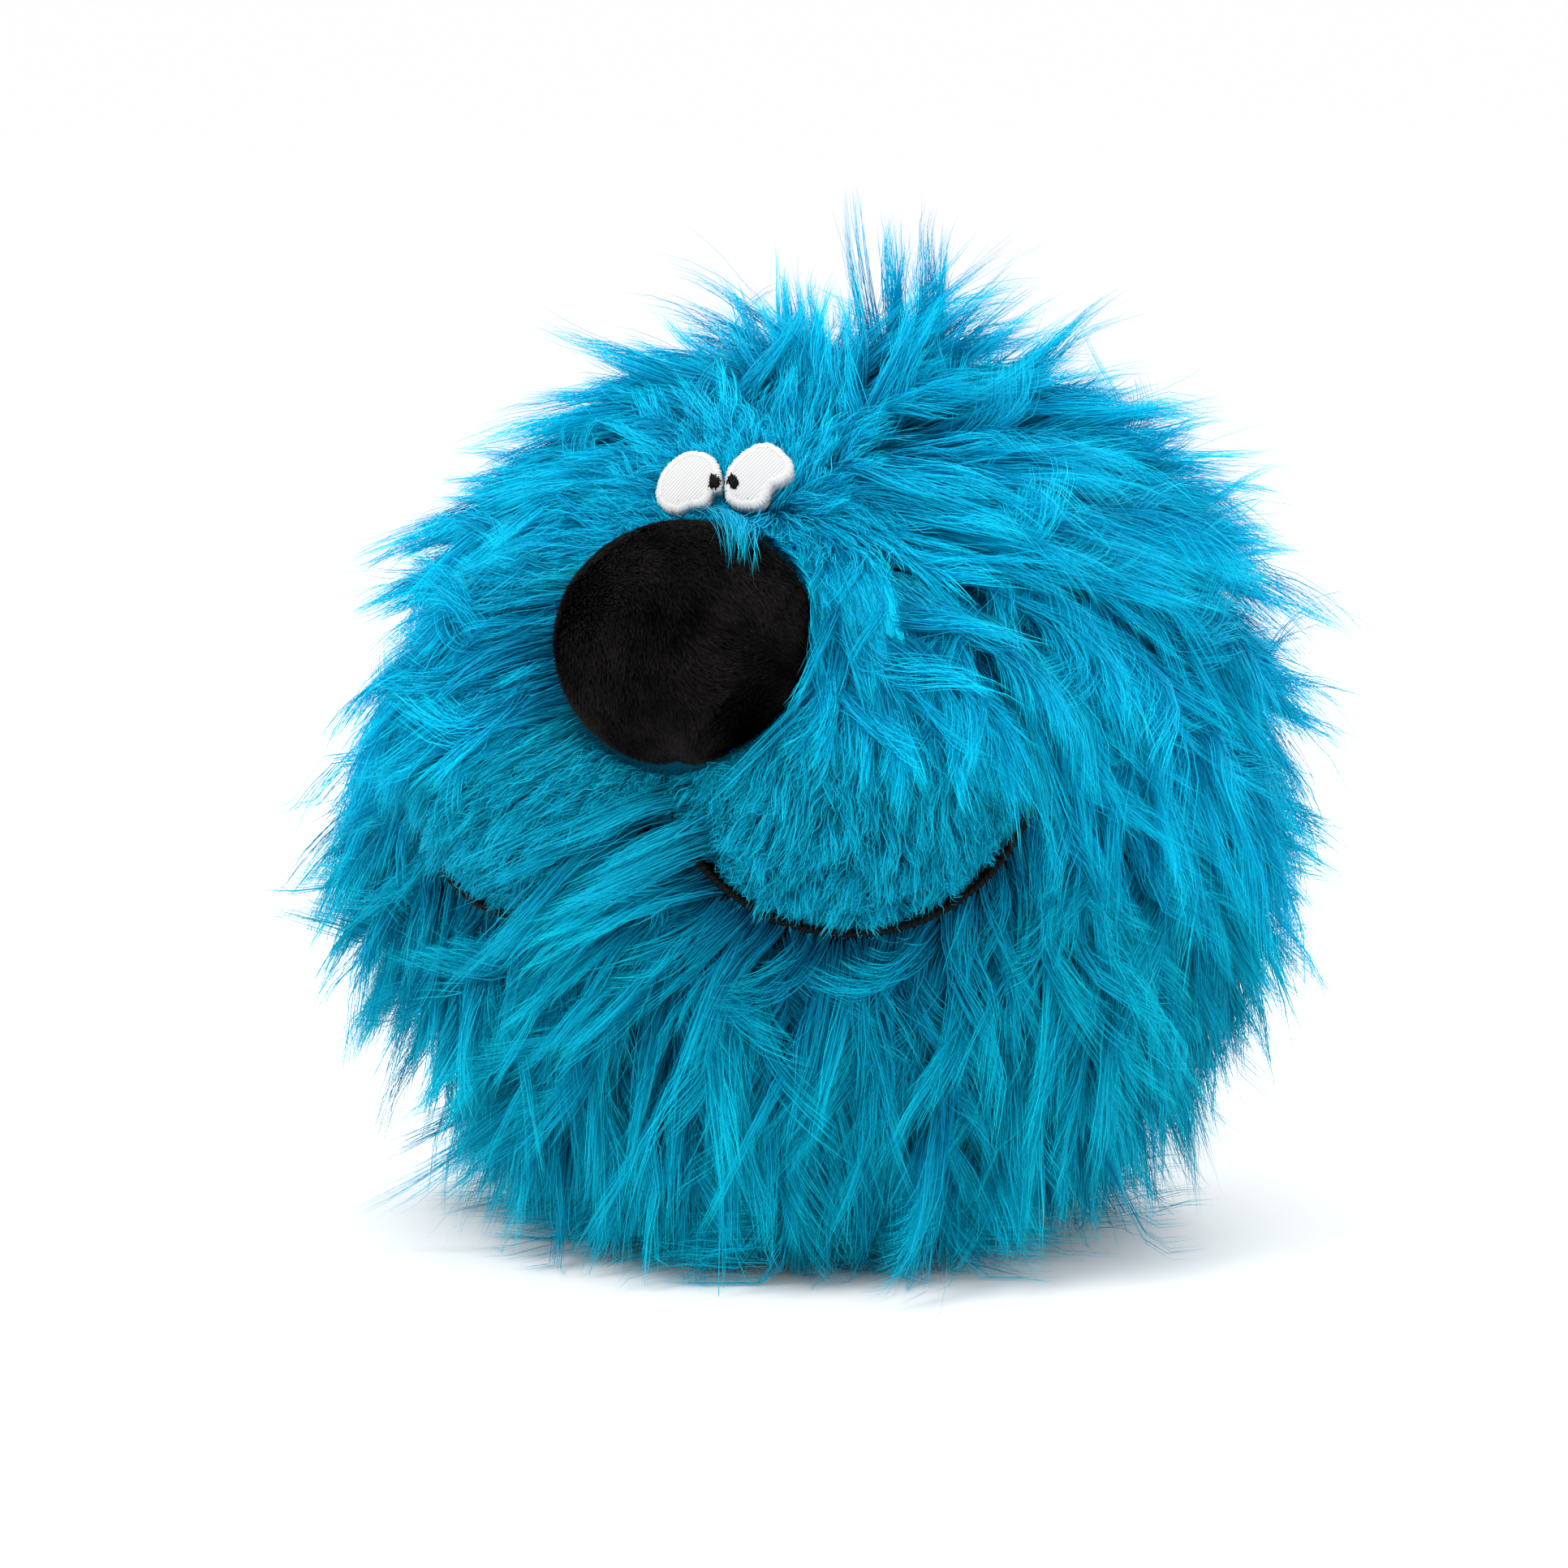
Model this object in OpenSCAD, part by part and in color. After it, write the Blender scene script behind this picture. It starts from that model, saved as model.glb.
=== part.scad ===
// Moving mouth hand puppet: a round, shaggy head that stands on its flat base.
// The face looks along -Y, +Z is up, and the origin is the centre of the base on the resting plane.
// The stuffed head, muzzle and nose are one body. The jaw turns about a cloth hinge at the back of the mouth.

/* [Body] */
// Radius of the sewn skin
skin_r = 112; // [111:0.5:113]
// Height of the skin's centre above the resting plane
skin_z = 124; // [123:0.5:125]
// Radius of the outer envelope of the long pile
pile_r = 136; // [134:1:140]
// Height of the centre of that envelope
pile_z = 134; // [132:1:136]
// Depth of the short pile on the forehead
short_pile = 7.5; // [6:0.5:9]
// Radius of the short-pile face panel
face_r = 46; // [44:1:48]

/* [Muzzle] */
// Sideways offset of each muzzle pad's centre
lobe_x = 34; // [33:0.5:35]
// Forward offset of each muzzle pad's centre
lobe_y = 73; // [72.5:0.5:74]
// Height of the muzzle pads' centres
lobe_z = 138; // [137.5:0.5:139]
// Radius of a muzzle pad
lobe_r = 52; // [51.5:0.5:52.5]
// Thickness of the short-pile fabric on the muzzle
lobe_fabric = 3; // [2:0.5:4]
// Thickness of the black stitched lip line
lip_d = 2.6; // [2:0.2:3]

/* [Nose and eyes] */
// Radius of the nose ball
nose_r = 35.2; // [33:0.2:36]
// Distance of the nose's centre from the skin's centre
nose_d = 112; // [108:0.5:113]
// Angle of the nose above the horizontal
nose_tilt = 25; // [24.5:0.5:26.5]
// Outer radius of an eye with its satin-stitched border
eye_r = 9.8; // [9:0.1:9.8]
// Width of that border
eye_border = 1.8; // [1.4:0.1:2.2]
// Radius of a pupil
pupil_r = 2; // [1.4:0.1:2.2]

/* [Mouth] */
// Distance of the cloth hinge in front of the origin
hinge_y = 40; // [39.5:0.5:40.5]
// Height of the cloth hinge
hinge_z = 112; // [111:0.5:113]
// Half the width of the jaw
jaw_half_w = 80; // [78:1:81]
// Height of the top of the chin between the muzzle pads
jaw_top_z = 124; // [122:1:124]
// Slope of the jaw's rear face below the hinge
jaw_rear_tilt = 69; // [66:1:69]
// Furthest point of the chin from the hinge
jaw_reach = 97; // [95:0.5:97.5]
// Thickness of the mouth lining
lining_t = 1.4; // [1.2:0.1:1.5]

/* [Hand] */
// Distance of the hand sleeve's centre behind the origin
sleeve_y = 12; // [11:0.5:14]
// Inner radius of the hand sleeve
sleeve_r = 44; // [42:0.5:44]
// Height of the top of the hand sleeve
sleeve_top = 152; // [150:1:153]
// Thickness of the sleeve and pocket fabric
cloth_t = 1.5; // [1:0.1:1.5]
// Outer radius of the base ring
base_r = 84; // [80:1:88]
// Thickness of the base ring
base_t = 13; // [11:0.5:13.5]

/* [Hidden] */
$fn = 96;
gap = 0.4;             // room between neighbouring sewn pieces
far = 400;             // larger than the whole puppet
seam_y = 30;           // plane between the front panels and the back panels
face_tilt = 36;        // angle of the short-pile face panel above the horizontal
eye_azimuth = 7.8;     // sideways angle of each eye
eye_tilt = 48.5;       // angle of the eyes above the horizontal
pupil_shift = 5.2;     // from an eye's centre towards the nose bridge
nose_room = 5;         // how far the muzzle pads stay clear of the nose
plate_t = 2;           // thickness of the stiff finger and thumb plates
plate_z = jaw_top_z + 1.2;
finger_half_w = 38;
finger_front = 92;     // front end of the finger pocket
finger_z = plate_z + plate_t + 0.8;
thumb_half_w = 17;
thumb_front = 83;
thumb_z = 56;
thumb_h = 22;
jaw_plate_z = thumb_z + thumb_h + gap;
jaw_plate_half_w = 30;
jaw_plate_front = 88;
window_half_w = 36;    // front window of the sleeve, where the pockets join it
window_z = 52;
hinge_roll_r = 1.2;
hinge_half_w = 60;
sleeve_out = sleeve_r + cloth_t;
bed_r = skin_r - gap;  // radius of the stuffing under the skin
lip_ball = skin_r + 2; // distance of the lip line from the skin's centre
lip_lobe = lobe_r + 0.2 + lip_d / 2;

// The lip line is the circle where a ball around the skin's centre meets a ball around a muzzle pad's centre.
lobe_d = sqrt(lobe_x * lobe_x + lobe_y * lobe_y + (lobe_z - skin_z) * (lobe_z - skin_z));
lip_plane = (lobe_d * lobe_d + lip_ball * lip_ball - lip_lobe * lip_lobe) / (2 * lobe_d);
lip_r = sqrt(lip_ball * lip_ball - lip_plane * lip_plane);
lobe_azimuth = atan2(lobe_x, lobe_y);
lobe_tilt = asin((lobe_z - skin_z) / lobe_d);
lip_start = -62;       // from straight down, towards the middle of the face
lip_end = 74;          // from straight down, towards the mouth's corner

LEFT = 1;
RIGHT = -1;

// ---- shared shapes ----

// A ball around the skin's centre
module ball(r) {
    translate([0, 0, skin_z]) sphere(r = r);
}

// Its children turned to point out of the skin's centre, along their own +X
module outwards(azimuth, tilt) {
    translate([0, 0, skin_z]) rotate([0, 0, azimuth - 90]) rotate([0, -tilt, 0]) children();
}

// One muzzle pad: a ball in front, drawn straight back to the throat
module lobe(side, r) {
    translate([side * lobe_x, -lobe_y, lobe_z]) {
        sphere(r = r);
        rotate([-90, 0, 0]) cylinder(r = r, h = lobe_y - hinge_y + 10);
    }
}

module nose_ball(r) {
    outwards(0, nose_tilt) translate([nose_d, 0, 0]) sphere(r = r);
}

// Everything on one side of the middle of the face
module half(side) {
    translate([side > 0 ? gap / 2 : -far - gap / 2, -far / 2, -1]) cube(far);
}

// The block in front of the hinge and below the upper lip, which the jaw moves in
module jaw_room() {
    w = jaw_half_w + 0.5;
    translate([-w, -far - hinge_y + 0.5, -far + jaw_top_z + 0.5]) cube([2 * w, far, far]);
}

// The wedge of the jaw itself, below the upper lip and in front of its sloping rear face
module jaw_block() {
    intersection() {
        translate([-jaw_half_w, -hinge_y - far, jaw_top_z - far]) cube([2 * jaw_half_w, far, far]);
        translate([-far / 2, -hinge_y, hinge_z]) rotate([jaw_rear_tilt - 90, 0, 0])
            translate([0, -far, -far / 2]) cube([far, far, far]);
    }
}

// The stuffed core of the head, without the jaw's room
module head_core(r) {
    difference() {
        ball(r);
        jaw_room();
        translate([-far / 2, -far / 2, base_t + gap - far]) cube(far);
    }
}

// The stitched lip line along the lower edge of one muzzle pad
module lip_line(side, r) {
    mirror([side > 0 ? 0 : 1, 0, 0])
        outwards(lobe_azimuth, lobe_tilt) translate([lip_plane, 0, 0])
            rotate([0, 90, 0]) rotate([0, 0, lip_start])
                rotate_extrude(angle = lip_end - lip_start) translate([lip_r, 0]) circle(r = r, $fn = 24);
}

// The cylinder that cuts the short-pile face panel
module face_cylinder(r) {
    outwards(0, face_tilt) rotate([0, 90, 0]) cylinder(r = r, h = far);
}

// Clears the way in front of the muzzle pads and the nose
module face_room() {
    for (side = [LEFT, RIGHT])
        translate([side * lobe_x, -hinge_y, lobe_z]) rotate([90, 0, 0])
            cylinder(r = lobe_r + lip_d + 2 * gap, h = far);
    outwards(0, nose_tilt) rotate([0, 90, 0]) cylinder(r = nose_r + gap, h = far);
}

// The way through for the sleeve and its binding
module sleeve_room(r, h) {
    translate([0, sleeve_y, -1]) cylinder(r = r, h = h + 1);
}

// Long pile between the skin and its envelope, inside its children and clear of the face
module pile() {
    difference() {
        intersection() {
            translate([0, 0, pile_z]) sphere(r = pile_r);
            children();
        }
        ball(skin_r);
        face_room();
    }
}

// ---- the fur panels ----

module fur_crown(side) {
    color("deepskyblue") pile() difference() {
        intersection() {
            half(side);
            translate([-far / 2, -far + seam_y, jaw_top_z + 0.5 + gap]) cube(far);
        }
        face_cylinder(face_r + gap);
    }
}

module fur_back(side) {
    color("deepskyblue") pile() difference() {
        intersection() {
            half(side);
            translate([-far / 2, seam_y + gap, base_t + gap]) cube(far);
        }
        sleeve_room(sleeve_out + 3 + gap, 60);
    }
}

module fur_side(side) {
    color("deepskyblue") pile() difference() {
        intersection() {
            half(side);
            translate([-far / 2, -far + seam_y, base_t + gap]) cube([far, far, jaw_top_z + 0.5 - base_t - gap]);
        }
        jaw_room();
        sleeve_room(sleeve_out + 3 + gap, 60);
    }
}

module fur_forehead() {
    color("darkturquoise") difference() {
        intersection() {
            ball(skin_r + short_pile);
            face_cylinder(face_r);
            translate([-far / 2, -far / 2, jaw_top_z + 0.5 + gap]) cube(far);
        }
        ball(skin_r);
        face_room();
    }
}

module fur_base() {
    color("deepskyblue") difference() {
        cylinder(r = base_r, h = base_t);
        sleeve_room(sleeve_out + 3 + gap, 60);
    }
}

module fur_chin(side) {
    color("deepskyblue") pile() intersection() {
        half(side);
        jaw_block();
        translate([-far / 2, -hinge_y, hinge_z]) rotate([0, 90, 0]) cylinder(r = jaw_reach, h = far);
    }
}

// ---- muzzle, nose and eyes ----

module muzzle(side) {
    color("teal") difference() {
        intersection() {
            lobe(side, lobe_r);
            half(side);
            throat_front();
        }
        lobe(side, lobe_r - lobe_fabric);
        head_core(skin_r);
        nose_ball(nose_r + nose_room);
    }
}

module muzzle_fill(side) {
    color("white") difference() {
        intersection() {
            lobe(side, lobe_r - lobe_fabric - gap / 2);
            half(side);
            throat_front();
        }
        head_core(skin_r);
        nose_ball(nose_r + nose_room);
    }
}

// Everything in front of the throat lining and the hinge tape
module throat_front() {
    intersection() {
        translate([-far / 2, -hinge_y, hinge_z]) rotate([jaw_rear_tilt - 90, 0, 0])
            translate([0, -far - lining_t - 2 * gap, -far / 2]) cube([far, far, far]);
        translate([-far / 2, -far - hinge_y - 1.6, -1]) cube(far);
    }
}

module lip_cord(side) {
    color("black") lip_line(side, lip_d / 2);
}

// A ball on the skin, turned about the line through the skin's centre, with an optional hollow
module nose_dome(r, hollow = 0) {
    outwards(0, nose_tilt) rotate([0, 90, 0]) rotate_extrude() difference() {
        intersection() {
            translate([0, nose_d]) circle(r = r);
            square(far);
        }
        circle(r = skin_r);
        if (hollow > 0) translate([0, nose_d]) circle(r = hollow);
    }
}

module nose_cover() {
    color("black") nose_dome(nose_r, nose_r - 1.6);
}

module nose_fill() {
    color("white") nose_dome(nose_r - 1.6 - gap / 2);
}

// A patch between two distances from the skin's centre, cut by a cylinder with an optional hole
module eye_patch(side, low, high, r, hole = 0, shift = 0) {
    mirror([side > 0 ? 0 : 1, 0, 0]) intersection() {
        difference() {
            ball(skin_r + short_pile + high);
            ball(skin_r + short_pile + low);
        }
        outwards(eye_azimuth, eye_tilt) translate([0, -shift, 0]) rotate([0, 90, 0]) difference() {
            cylinder(r = r, h = far);
            if (hole > 0) translate([0, 0, -1]) cylinder(r = hole, h = far + 2);
        }
    }
}

module eye(side) {
    color("white") eye_patch(side, 0.3, 1.3, eye_r - eye_border - 0.1);
}

module eye_rim(side) {
    color("ghostwhite") eye_patch(side, 0.3, 2.3, eye_r, eye_r - eye_border);
}

module pupil(side) {
    color("black") eye_patch(side, 1.5, 2.3, pupil_r, 0, pupil_shift);
}

// ---- inside the head ----

// The ways through the stuffing for the hand
module hand_room() {
    sleeve_room(sleeve_out + gap, far);
    // finger pocket
    translate([-finger_half_w - gap, -finger_front - gap, finger_z - gap])
        cube([2 * (finger_half_w + gap), finger_front, far]);
    // finger plate
    translate([-finger_half_w, -finger_front - 10, plate_z - 2])
        cube([2 * finger_half_w, finger_front + 12 - hinge_y, plate_t + 2 + gap]);
    // thumb and hinge tape
    translate([-window_half_w - 2, -hinge_y - 1, window_z])
        cube([2 * window_half_w + 4, hinge_y, finger_z - window_z]);
    translate([-hinge_half_w - 1, -hinge_y - 1, window_z])
        cube([2 * hinge_half_w + 2, 3, finger_z - window_z]);
}

// Stuffing of the head between two heights
module stuffing(low, high) {
    intersection() {
        ball(bed_r);
        translate([-far / 2, -far / 2, low]) cube([far, far, high - low]);
    }
}

module crown_stuffing() {
    color("linen") stuffing(sleeve_top + 3 * gap, far);
}

module brow_stuffing(side) {
    color("linen") difference() {
        intersection() {
            stuffing(jaw_top_z + 0.5, sleeve_top + gap);
            half(side);
        }
        hand_room();
    }
}

module head_stuffing(side) {
    color("linen") difference() {
        intersection() {
            stuffing(base_t + gap, jaw_top_z + 0.1);
            half(side);
        }
        jaw_room();
        hand_room();
    }
}

module hand_sleeve() {
    color("dimgray") difference() {
        translate([0, sleeve_y, 2]) cylinder(r = sleeve_out, h = sleeve_top - 2);
        sleeve_room(sleeve_r, sleeve_top - cloth_t);
        translate([-window_half_w, -far, window_z])
            cube([2 * window_half_w, far, sleeve_top - cloth_t - window_z]);
    }
}

module opening_binding() {
    color("black") difference() {
        translate([0, sleeve_y, 2.5]) cylinder(r = sleeve_out + 3, h = 5);
        sleeve_room(sleeve_out + 0.05, 10);
    }
}

// A fabric pocket: an open-backed box
module pocket(half_w, front, back, z, h) {
    difference() {
        translate([-half_w, -front, z]) cube([2 * half_w, front - back, h]);
        translate([-half_w + cloth_t, -front + cloth_t, z + cloth_t])
            cube([2 * (half_w - cloth_t), front, h - 2 * cloth_t]);
    }
}

module finger_pocket() {
    color("dimgray")
        pocket(finger_half_w, finger_front, sleeve_out - sleeve_y + 0.5, finger_z, sleeve_top - finger_z);
}

module finger_plate() {
    color("dimgray") translate([-finger_half_w + 1, -finger_front - 8, plate_z])
        cube([2 * finger_half_w - 2, finger_front + 7 - hinge_y, plate_t]);
}

module upper_mouth_lining() {
    color("black") for (side = [LEFT, RIGHT]) intersection() {
        difference() {
            lobe(side, lobe_r + gap / 2 + lining_t);
            lobe(side, lobe_r + gap / 2);
        }
        half(side);
        translate([-jaw_half_w, -far, jaw_top_z - far]) cube([2 * jaw_half_w, far, far]);
        throat_front();
        ball(skin_r - 1);
    }
}

module hinge_tape() {
    color("black") {
        translate([-hinge_half_w, -hinge_y, hinge_z]) rotate([0, 90, 0])
            cylinder(r = hinge_roll_r, h = 2 * hinge_half_w, $fn = 24);
        translate([-hinge_half_w, -hinge_y - 0.6, hinge_z + 0.6])
            cube([2 * hinge_half_w, 1.2, plate_z - hinge_z - 1]);
    }
}

// ---- the jaw ----

module jaw_stuffing() {
    r = lobe_r + gap + 2 * lining_t + 2 * gap;
    color("linen") difference() {
        intersection() {
            ball(bed_r);
            jaw_block();
        }
        lobe(LEFT, r);
        lobe(RIGHT, r);
        translate([-thumb_half_w - gap, -thumb_front - gap, thumb_z - gap])
            cube([2 * (thumb_half_w + gap), far, thumb_h + 2 * gap]);
        translate([-jaw_plate_half_w - gap, -jaw_plate_front - gap, jaw_plate_z - gap])
            cube([2 * (jaw_plate_half_w + gap), far, plate_t + 2 * gap]);
        translate([-far / 2, -hinge_y, hinge_z]) rotate([jaw_rear_tilt - 90, 0, 0])
            translate([0, -lining_t - gap, -35]) cube([far, far, far]);
    }
}

module jaw_plate() {
    color("dimgray") intersection() {
        translate([-jaw_plate_half_w, -jaw_plate_front, jaw_plate_z])
            cube([2 * jaw_plate_half_w, jaw_plate_front - hinge_y, plate_t]);
        throat_front();
    }
}

module lower_mouth_lining() {
    r = lobe_r + gap + lining_t + gap;
    color("black") for (side = [LEFT, RIGHT]) intersection() {
        difference() {
            lobe(side, r + lining_t);
            lobe(side, r);
        }
        half(side);
        jaw_block();
        throat_front();
        ball(skin_r - 1);
    }
}

module throat_lining() {
    color("black") translate([0, -hinge_y, hinge_z]) rotate([jaw_rear_tilt - 90, 0, 0])
        translate([-hinge_half_w, -lining_t, -32]) cube([2 * hinge_half_w, lining_t, 32 - hinge_roll_r - gap]);
}

module thumb_pocket() {
    color("dimgray") intersection() {
        pocket(thumb_half_w, thumb_front, 0, thumb_z, thumb_h);
        jaw_block();
    }
}

crown_stuffing();
brow_stuffing(LEFT);  // brow_stuffing_left
brow_stuffing(RIGHT);  // brow_stuffing_right
head_stuffing(LEFT);  // head_stuffing_left
head_stuffing(RIGHT);  // head_stuffing_right
fur_crown(LEFT);  // fur_crown_left
fur_crown(RIGHT);  // fur_crown_right
fur_back(LEFT);  // fur_back_left
fur_back(RIGHT);  // fur_back_right
fur_side(LEFT);  // fur_side_left
fur_side(RIGHT);  // fur_side_right
fur_forehead();
fur_base();
muzzle(LEFT);  // muzzle_left
muzzle(RIGHT);  // muzzle_right
muzzle_fill(LEFT);  // muzzle_fill_left
muzzle_fill(RIGHT);  // muzzle_fill_right
lip_cord(LEFT);  // lip_cord_left
lip_cord(RIGHT);  // lip_cord_right
nose_cover();
nose_fill();
eye(LEFT);  // eye_left
eye(RIGHT);  // eye_right
eye_rim(LEFT);  // eye_border_left
eye_rim(RIGHT);  // eye_border_right
pupil(LEFT);  // pupil_left
pupil(RIGHT);  // pupil_right
upper_mouth_lining();
hinge_tape();
finger_plate();
finger_pocket();
hand_sleeve();
opening_binding();
fur_chin(LEFT);  // fur_chin_left
fur_chin(RIGHT);  // fur_chin_right
jaw_stuffing();
jaw_plate();
lower_mouth_lining();
throat_lining();
thumb_pocket();
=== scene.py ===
import math

import bpy
import numpy as np
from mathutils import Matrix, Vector
from mathutils.kdtree import KDTree


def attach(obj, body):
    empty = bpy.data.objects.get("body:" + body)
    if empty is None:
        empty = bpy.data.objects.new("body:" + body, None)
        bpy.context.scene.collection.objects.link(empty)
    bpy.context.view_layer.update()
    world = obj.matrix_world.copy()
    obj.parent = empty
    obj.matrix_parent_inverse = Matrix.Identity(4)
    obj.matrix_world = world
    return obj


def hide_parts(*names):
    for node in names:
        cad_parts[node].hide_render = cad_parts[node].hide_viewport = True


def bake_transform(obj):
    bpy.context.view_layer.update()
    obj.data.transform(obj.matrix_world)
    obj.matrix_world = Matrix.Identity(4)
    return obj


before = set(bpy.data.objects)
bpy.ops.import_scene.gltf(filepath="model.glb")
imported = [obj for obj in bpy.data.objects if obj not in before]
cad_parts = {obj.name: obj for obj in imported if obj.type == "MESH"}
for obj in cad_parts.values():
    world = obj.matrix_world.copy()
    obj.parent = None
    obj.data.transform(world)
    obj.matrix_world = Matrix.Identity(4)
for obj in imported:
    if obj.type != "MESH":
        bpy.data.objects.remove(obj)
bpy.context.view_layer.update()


# ---------------------------------------------------------------- shared measures, in metres
CENTRE = np.array([0.0, 0.0, 0.124])
SKIN = 0.112
HINGE = np.array([0.0, -0.040, 0.112])
JAW_HALF = 0.080
JAW_TOP = 0.124
NOSE_TILT = math.radians(24.8)
NOSE = CENTRE + 0.112 * np.array([0.0, -math.cos(NOSE_TILT), math.sin(NOSE_TILT)])
NOSE_R = 0.0337
REAR = math.radians(69.0)
M = 7  # pieces of one strand
TIP = 0.22  # a strand's width at its tip, as a share of its width at the root
MOST_FACES = 190000  # in one mesh; more go into a further mesh
TUFTS_UP, TUFTS_OUT = 0.2865, 0.1530  # how far the longest tufts may reach, upwards and sideways
QUICK = 1.0
OPENING = np.array([0.0, 0.012])  # middle of the hand opening, seen from above
OPENING_R = 0.0495


def unit(v):
    return v / np.maximum(np.linalg.norm(v, axis=-1, keepdims=True), 1e-9)


def direction(azimuth, elevation):
    a, e = np.radians(azimuth), np.radians(elevation)
    return np.stack([np.cos(e) * np.sin(a), -np.cos(e) * np.cos(a), np.sin(e) + 0 * a], -1)


def smooth(x, low, high):
    t = np.clip((x - low) / (high - low), 0, 1)
    return t * t * (3 - 2 * t)


# ---------------------------------------------------------------- materials
def principled(name, colour, rough=0.6, spec=0.3):
    m = bpy.data.materials.new(name)
    m.use_nodes = True
    p = m.node_tree.nodes["Principled BSDF"]
    p.inputs["Base Color"].default_value = (*colour, 1)
    p.inputs["Roughness"].default_value = rough
    p.inputs["Specular IOR Level"].default_value = spec
    return m


def ramp_nodes(nodes, stops):
    r = nodes.new("ShaderNodeValToRGB")
    e = r.color_ramp.elements
    while len(e) < len(stops):
        e.new(0.5)
    for i, (at, colour) in enumerate(stops):
        e[i].position = at
        e[i].color = (*colour, 1)
    return r


def pile_material(name, stops, dark=(0.60, 0.60, 0.68), light=(1.30, 1.36, 1.24),
                  rough=0.45, spec=0.035):
    """Colour from root to tip along U, its dark roots painted shade of the gaps, and along V each strand's
    tone and painted light.
    """
    m = principled(name, stops[1][1], rough, spec)
    nodes, links = m.node_tree.nodes, m.node_tree.links
    p = nodes["Principled BSDF"]
    uv = nodes.new("ShaderNodeUVMap")
    uv.uv_map = "OFBake"
    split = nodes.new("ShaderNodeSeparateXYZ")
    ramp = ramp_nodes(nodes, stops)
    tint = nodes.new("ShaderNodeMix")
    tint.data_type = "VECTOR"
    tint.inputs[4].default_value = dark
    tint.inputs[5].default_value = light
    times = nodes.new("ShaderNodeVectorMath")
    times.operation = "MULTIPLY"
    links.new(uv.outputs["UV"], split.inputs[0])
    links.new(split.outputs["X"], ramp.inputs["Fac"])
    links.new(split.outputs["Y"], tint.inputs[0])
    links.new(ramp.outputs["Color"], times.inputs[0])
    links.new(tint.outputs[1], times.inputs[1])
    links.new(times.outputs[0], p.inputs["Base Color"])
    return m


def bumpy(m, scale, strength, distance, detail=3.0):
    nodes, links = m.node_tree.nodes, m.node_tree.links
    p = nodes["Principled BSDF"]
    at = nodes.new("ShaderNodeTexCoord")
    noise = nodes.new("ShaderNodeTexNoise")
    noise.inputs["Scale"].default_value = scale
    noise.inputs["Detail"].default_value = detail
    bump = nodes.new("ShaderNodeBump")
    bump.inputs["Strength"].default_value = strength
    bump.inputs["Distance"].default_value = distance
    links.new(at.outputs["Object"], noise.inputs["Vector"])
    links.new(noise.outputs["Fac"], bump.inputs["Height"])
    links.new(bump.outputs["Normal"], p.inputs["Normal"])
    return m


FUR = pile_material("long_pile", [
    (0.0, (0.0, 0.08, 0.18)), (0.35, (0.0003, 0.27, 0.50)),
    (0.8, (0.0005, 0.48, 0.75)), (1.0, (0.003, 0.60, 0.83))])
# A darker, more teal copy of the long pile for the lower pieces; its darkness is painted shade of the lower
# body.
LOWER_SHADED = pile_material("lower_pile_shaded", [
    (0.0, (0.0, 0.08, 0.17)), (0.35, (0.0003, 0.27, 0.46)),
    (0.8, (0.0005, 0.47, 0.67)), (1.0, (0.003, 0.59, 0.75))])
SHORT = pile_material("muzzle_pile", [
    (0.0, (0.0, 0.10, 0.17)), (0.4, (0.001, 0.32, 0.50)), (1.0, (0.003, 0.49, 0.71))])
# The nose pile's wide range of light along V carries the painted sheen patches of the brushed plush.
FUZZ = pile_material("nose_pile", [
    (0.0, (0.0004, 0.0004, 0.0004)), (0.5, (0.0018, 0.0017, 0.0017)), (1.0, (0.0078, 0.0073, 0.0072))],
    (0.10, 0.10, 0.10), (4.0, 3.75, 3.7), 0.6, 0.04)
BACKING = principled("fur_backing", (0.0, 0.085, 0.15), 0.9, 0.05)
NOSE_SKIN = bumpy(principled("nose_plush", (0.0010, 0.0010, 0.0010), 0.8, 0.02), 900, 0.5, 0.0006)
THREAD = principled("black_thread", (0.0012, 0.0012, 0.0015), 0.6, 0.10)
SATIN = principled("white_satin_stitch", (0.60, 0.60, 0.60), 0.7, 0.1)
VELVET = bumpy(principled("mouth_velvet", (0.006, 0.006, 0.007), 0.85, 0.1), 1500, 0.4, 0.0003)
CLOTH = bumpy(principled("lining_cloth", (0.018, 0.02, 0.024), 0.85, 0.15), 1800, 0.4, 0.0002)
TAPE = principled("binding_tape", (0.006, 0.006, 0.007), 0.8, 0.15)
BOARD = principled("stiff_board", (0.03, 0.03, 0.035), 0.6, 0.3)
FILL = bumpy(principled("fibre_fill", (0.75, 0.74, 0.70), 0.95, 0.05), 300, 0.6, 0.001)


def mesh_object(name, verts, faces, material, smooth_it=True):
    mesh = bpy.data.meshes.new(name)
    mesh.from_pydata([tuple(map(float, v)) for v in verts], [], faces)
    mesh.validate()
    mesh.materials.append(material)
    mesh.polygons.foreach_set("use_smooth", np.full(len(mesh.polygons), smooth_it))
    o = bpy.data.objects.new(name, mesh)
    bpy.context.scene.collection.objects.link(o)
    return o


# ---------------------------------------------------------------- the skin under the pile
LOBE_DIR = direction(24.3, 12.2)
NOSE_DIR = unit(NOSE - CENTRE)
RING = 24.3  # angle from a muzzle pad's middle to its lip line
PAD_RISE = 0.0185
NOSE_EDGE = 16.9  # angle from the nose's middle to where the pile round it starts
PANEL_MID, PANEL_EDGE = direction(0.0, 36.0), 24.2  # the trimmed panel round the eyes
EYE_BARE = 0.84  # share of an eye's outline, inside which no pile grows


def angle_to(u, v):
    return np.degrees(np.arccos(np.clip(u @ v, -1, 1)))


def ring_angle(u):
    """Angle to the nearer muzzle pad's middle, in degrees."""
    return angle_to(np.stack([np.abs(u[:, 0]), u[:, 1], u[:, 2]], -1), LOBE_DIR)


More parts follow.
